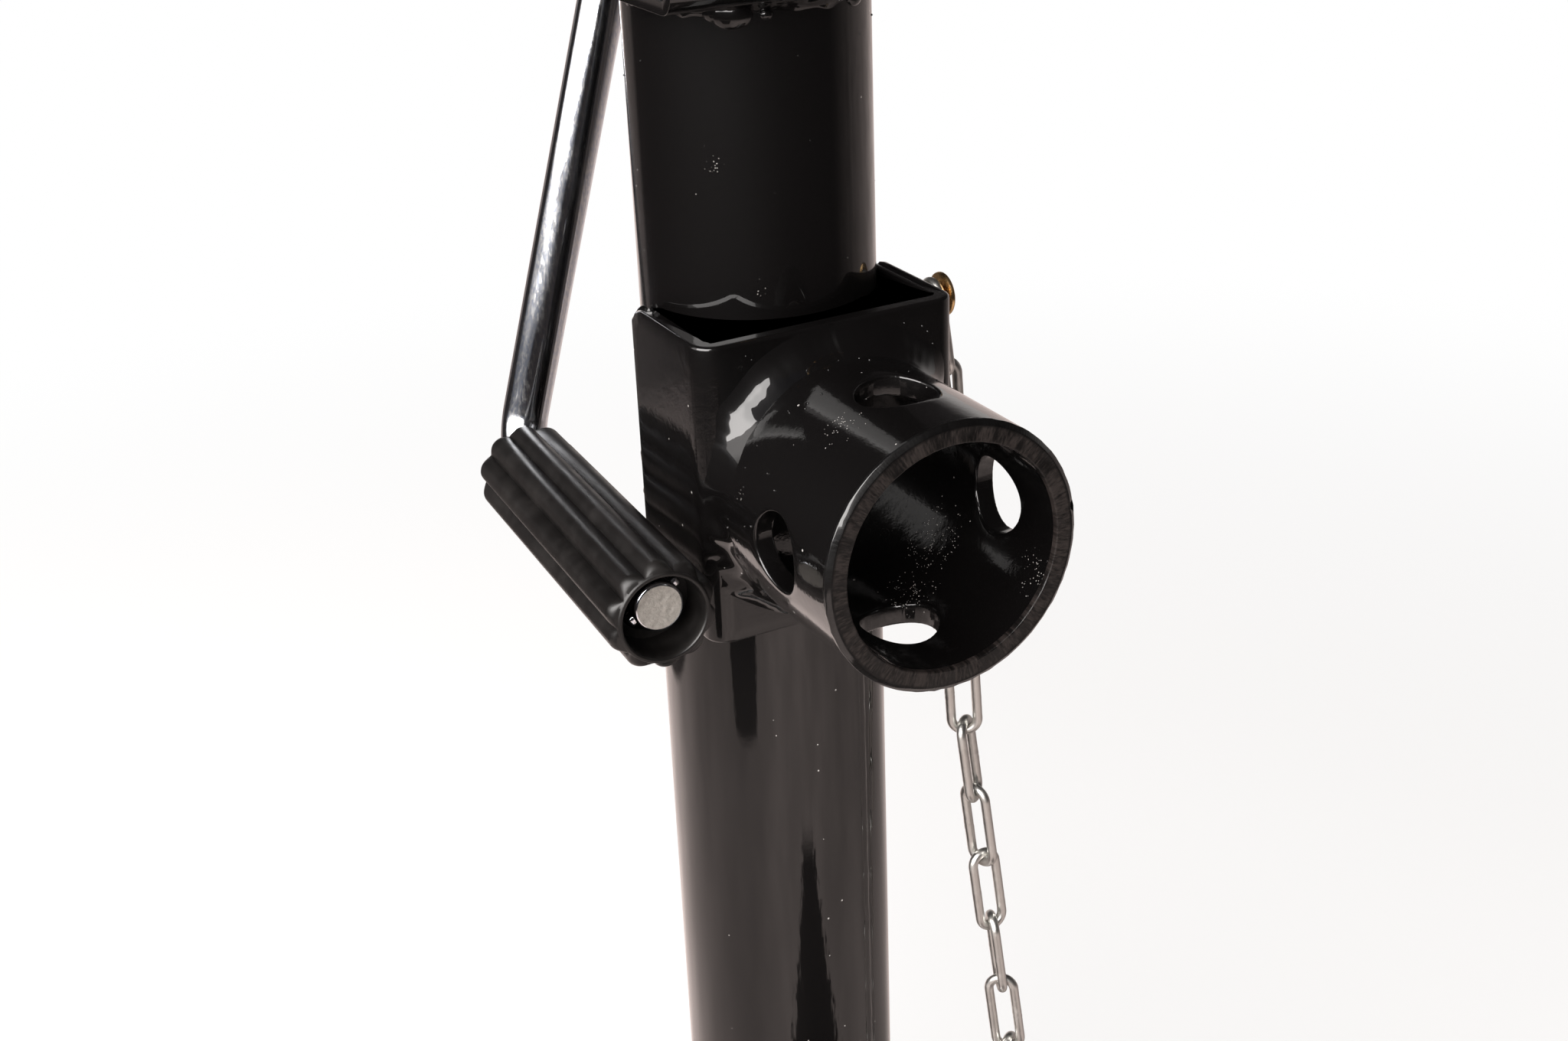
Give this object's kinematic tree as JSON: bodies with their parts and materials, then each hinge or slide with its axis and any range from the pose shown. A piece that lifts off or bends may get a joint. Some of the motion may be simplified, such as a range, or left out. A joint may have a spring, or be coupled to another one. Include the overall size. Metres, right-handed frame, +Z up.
{
  "type": "trailer tongue jack",
  "caption": "Side-wind trailer tongue jack with a swivel pipe mount, a fold-away crank handle with a ribbed grip, a telescoping leg with foot plate, and a lock pin on a chain.",
  "frame": {"origin": "centre of the foot plate's underside with the leg retracted, on the tube's axis", "axes": "+Z up the leg, -Y out of the swivel pipe mount, +Y towards the crank, +X to the right of the mount seen from its mouth's side with +Z up"},
  "size_m": [0.1305, 0.1491, 0.5075],
  "materials": {
    "black_paint": "gloss",
    "zinc_plate": "satin",
    "zinc_crank": "bright zinc",
    "steel": "machined",
    "leg_steel": "zinc plated tube",
    "yellow_zinc": "yellow passivated",
    "bronze": "sintered",
    "chain_zinc": "bright zinc",
    "grip_rubber": "satin",
    "weld_black": "gloss, rough bead",
    "dark_steel": "black oxide"
  },
  "bodies": {
    "frame": {"outer_tube": "black_paint", "gear_housing": "black_paint", "housing_weld": "weld_black", "gear_cover": "zinc_plate", "cover_screws": "yellow_zinc", "front_bushing": "bronze", "rear_bushing": "bronze", "screw_bushing": "bronze", "thrust_race_upper": "steel", "swivel_bracket": "black_paint", "bracket_welds": "weld_black", "pipe_mount": "black_paint", "mount_weld": "weld_black", "chain_rivet": "yellow_zinc"},
    "shaft": {"crank_shaft": "zinc_crank", "shaft_rings": "dark_steel", "drive_bevel": "steel", "drive_bevel_pin": "dark_steel"},
    "screw": {"lift_screw": "steel", "driven_bevel": "steel", "screw_key": "dark_steel", "screw_ring": "dark_steel", "thrust_race_lower": "steel"},
    "bearing": {"ball_cage": "bronze", "thrust_balls": "steel"},
    "leg": {"inner_tube": "leg_steel", "lift_nut": "bronze", "foot_plate": "leg_steel", "foot_weld": "leg_steel"},
    "crank": {"crank_arm": "zinc_crank", "fold_pin": "yellow_zinc"},
    "grip": {"crank_grip": "grip_rubber"},
    "chain_a": {"chain_top": "chain_zinc"},
    "chain_b": {"chain_upper": "chain_zinc"},
    "chain_c": {"chain_middle": "chain_zinc"},
    "chain_d": {"chain_lower": "chain_zinc"},
    "ring": {"pin_ring": "chain_zinc"},
    "pin": {"lock_pin": "zinc_plate"}
  },
  "joints": [
    {"name": "crank_spin", "type": "hinge", "parent": "frame", "child": "shaft", "pos_m": [0, 0, 0.4765], "axis": [0, -1, 0], "range_deg": [0, 22860]},
    {"name": "crank_fold", "type": "hinge", "parent": "shaft", "child": "crank", "pos_m": [0, 0.0545, 0.4765], "axis": [0.9603, 0, -0.279], "range_deg": [0, 180]},
    {"name": "grip_spin", "type": "hinge", "parent": "crank", "child": "grip", "pos_m": [-0.0491, 0.00459, 0.31842], "axis": [-0.0586, -0.9981, 0.017], "continuous": true},
    {"name": "screw_spin", "type": "hinge", "parent": "frame", "child": "screw", "pos_m": [0, 0, 0.4455], "axis": [0, 0, 1], "range_deg": [0, 15240.01]},
    {"name": "bearing_spin", "type": "hinge", "parent": "frame", "child": "bearing", "pos_m": [0, 0, 0.4455], "axis": [0, 0, 1], "range_deg": [0, 7620.01]},
    {"name": "leg_extend", "type": "slide", "parent": "frame", "child": "leg", "axis": [0, 0, -1], "range_m": [0, 0.25401]},
    {"name": "chain_a_swing", "type": "hinge", "parent": "frame", "child": "chain_a", "pos_m": [0.03628, -0.021, 0.3685], "axis": [1, 0, 0], "range_deg": [-12, 12]},
    {"name": "chain_b_swing", "type": "hinge", "parent": "chain_a", "child": "chain_b", "pos_m": [0.04123, -0.02201, 0.30757], "axis": [-0.4067, -0.9135, 0], "range_deg": [-4, 12]},
    {"name": "chain_c_swing", "type": "hinge", "parent": "chain_b", "child": "chain_c", "pos_m": [0.04456, -0.02299, 0.24587], "axis": [-0.8387, 0.5446, 0], "range_deg": [-12, 12]},
    {"name": "chain_d_swing", "type": "hinge", "parent": "chain_c", "child": "chain_d", "pos_m": [0.04956, -0.02942, 0.1846], "axis": [0.9998, -0.0175, 0], "range_deg": [-12, 12]},
    {"name": "ring_swing", "type": "hinge", "parent": "chain_d", "child": "ring", "pos_m": [0.05452, -0.03574, 0.12332], "axis": [-0.809, -0.5878, 0], "range_deg": [-12, 20]},
    {"name": "pin_swing", "type": "hinge", "parent": "ring", "child": "pin", "pos_m": [0.05441, -0.0356, 0.10688], "axis": [-0.5878, 0.809, 0], "range_deg": [-20, 20]}
  ],
  "couplings": [
    {"joint": "screw_spin", "follows": "crank_spin", "ratio": 0.66667},
    {"joint": "bearing_spin", "follows": "crank_spin", "ratio": 0.33333},
    {"joint": "leg_extend", "follows": "crank_spin", "m_per_rad": 0.00063662}
  ]
}
